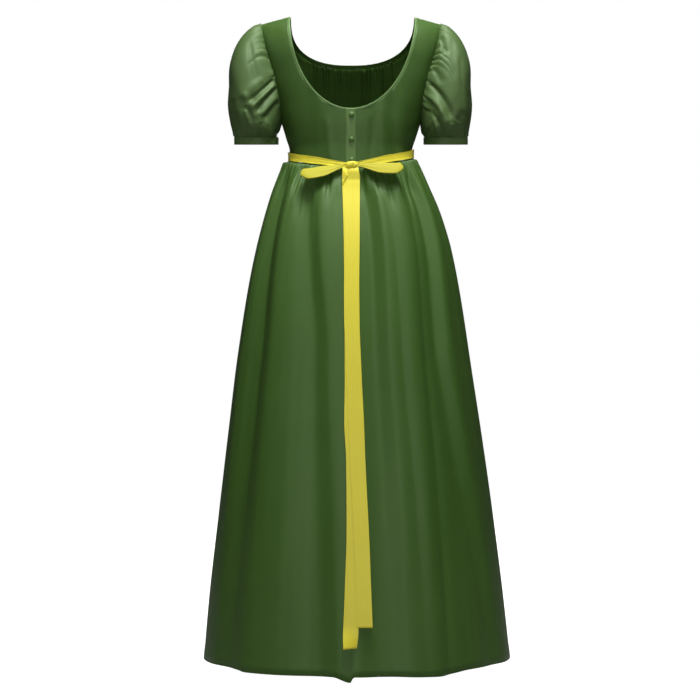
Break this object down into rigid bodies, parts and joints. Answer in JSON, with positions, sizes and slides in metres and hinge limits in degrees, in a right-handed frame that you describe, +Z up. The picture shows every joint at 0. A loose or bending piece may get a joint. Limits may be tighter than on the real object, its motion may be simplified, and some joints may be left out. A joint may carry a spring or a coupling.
{
  "type": "regency gown",
  "caption": "Full-length empire-line gown, hollow as worn: scooped button-back bodice, short puffed sleeves in cuffs, gathered skirt and a ribbon tied in a bow behind.",
  "frame": {"origin": "midway between the two neck points of the shoulder seams, where the wearer's shoulders carry the gown", "axes": "+Z up, -Y the wearer's front, +X the wearer's left"},
  "size_m": [0.655, 0.5354, 1.3799],
  "materials": {
    "gown_cloth": "smooth light plain weave, soft low sheen, forest green",
    "sleeve_cloth": "thin crisp satin-faced weave, soft sheen, lighter forest green",
    "covered_button": "gown cloth drawn tight over a dome",
    "ribbon_satin": "single-face satin ribbon, bright yellow, smooth sheen"
  },
  "bodies": {
    "root": {"bodice_back_left": "gown_cloth", "bodice_back_right": "gown_cloth", "bodice_front": "gown_cloth", "neck_binding_left": "gown_cloth", "neck_binding_right": "gown_cloth", "neck_band_front": "gown_cloth", "button_band": "gown_cloth", "button_1": "covered_button", "button_2": "covered_button", "button_3": "covered_button", "sleeve_left": "sleeve_cloth", "sleeve_right": "sleeve_cloth", "cuff_left": "sleeve_cloth", "cuff_right": "sleeve_cloth", "skirt_back": "gown_cloth", "skirt_front": "gown_cloth", "ribbon_belt": "ribbon_satin", "ribbon_knot": "ribbon_satin", "bow_loop_left": "ribbon_satin", "bow_loop_right": "ribbon_satin", "ribbon_tail_left": "ribbon_satin", "ribbon_tail_right": "ribbon_satin"}
  },
  "joints": []
}
